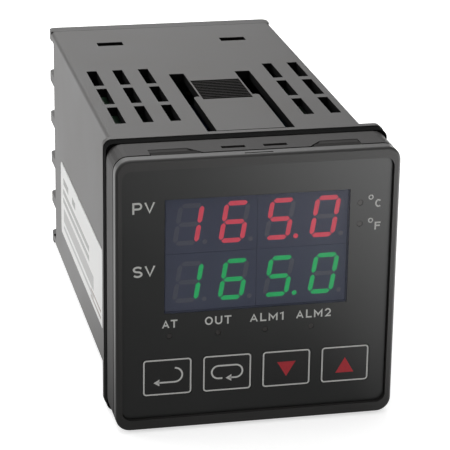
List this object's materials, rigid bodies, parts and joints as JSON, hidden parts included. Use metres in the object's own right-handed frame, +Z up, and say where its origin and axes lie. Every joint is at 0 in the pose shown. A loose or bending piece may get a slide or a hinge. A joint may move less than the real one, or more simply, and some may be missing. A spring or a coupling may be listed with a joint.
{
  "type": "panel temperature controller",
  "caption": "Square-fronted panel controller in a slotted snap-in housing with a seven-segment display, push keys, indicator lamps and a rear barrier terminal block.",
  "frame": {"origin": "centre of the panel seat, the plane of the rear face of the case flange", "axes": "+Y runs back into the panel towards the terminals, the face looks along -Y, +X is to the right seen from the front, +Z is up"},
  "size_m": [0.0484, 0.0904, 0.0484],
  "materials": {
    "housing": "matte",
    "gasket": "matte",
    "face": "satin",
    "window": "gloss",
    "keys": "satin",
    "plunger": "matte",
    "display_module": "matte",
    "light_red": "gloss",
    "light_green": "gloss",
    "light_off": "gloss",
    "lamp": "gloss",
    "board": "satin",
    "socket": "matte",
    "core": "matte",
    "winding": "satin",
    "relay": "gloss",
    "capacitor": "gloss",
    "chip": "matte",
    "terminal_moulding": "matte",
    "contact": "satin",
    "steel": "satin",
    "label": "satin"
  },
  "bodies": {
    "controller": {"rear_case": "housing", "gasket": "gasket", "bezel_sleeve": "housing", "front_frame": "housing", "front_panel": "face", "display_window": "window", "switch_return": "chip", "switch_cycle": "chip", "switch_down": "chip", "switch_up": "chip", "pv_module_left": "display_module", "pv_module_right": "display_module", "sv_module_left": "display_module", "sv_module_right": "display_module", "pv_segments_lit": "light_red", "pv_segments_dark": "light_off", "sv_segments_lit": "light_green", "sv_segments_dark": "light_off", "led_tuning": "lamp", "led_output": "lamp", "led_alarm_1": "lamp", "led_alarm_2": "lamp", "led_celsius": "lamp", "led_fahrenheit": "lamp", "display_board": "board", "control_board": "board", "power_board": "board", "rear_board": "board", "front_socket_left": "socket", "front_socket_right": "socket", "rear_socket_left": "socket", "rear_socket_right": "socket", "transformer_core": "core", "transformer_coil": "winding", "relay_output": "relay", "relay_alarm": "relay", "capacitor_main": "capacitor", "capacitor_low": "capacitor", "processor_chip": "chip", "memory_chip": "chip", "optocoupler": "chip", "terminal_block": "terminal_moulding", "terminal_contacts": "contact", "terminal_plates": "steel", "terminal_screws": "steel", "side_label": "label"},
    "return_key": {"key_return": "keys", "plunger_return": "plunger"},
    "cycle_key": {"key_cycle": "keys", "plunger_cycle": "plunger"},
    "down_key": {"key_down": "keys", "plunger_down": "plunger"},
    "up_key": {"key_up": "keys", "plunger_up": "plunger"}
  },
  "joints": [
    {"name": "return_press", "type": "slide", "parent": "controller", "child": "return_key", "axis": [0, 1, 0], "range_m": [0, 0.0005], "stiffness_N_per_m": 1000, "springref_m": -0.001},
    {"name": "cycle_press", "type": "slide", "parent": "controller", "child": "cycle_key", "axis": [0, 1, 0], "range_m": [0, 0.0005], "stiffness_N_per_m": 1000, "springref_m": -0.001},
    {"name": "down_press", "type": "slide", "parent": "controller", "child": "down_key", "axis": [0, 1, 0], "range_m": [0, 0.0005], "stiffness_N_per_m": 1000, "springref_m": -0.001},
    {"name": "up_press", "type": "slide", "parent": "controller", "child": "up_key", "axis": [0, 1, 0], "range_m": [0, 0.0005], "stiffness_N_per_m": 1000, "springref_m": -0.001}
  ]
}
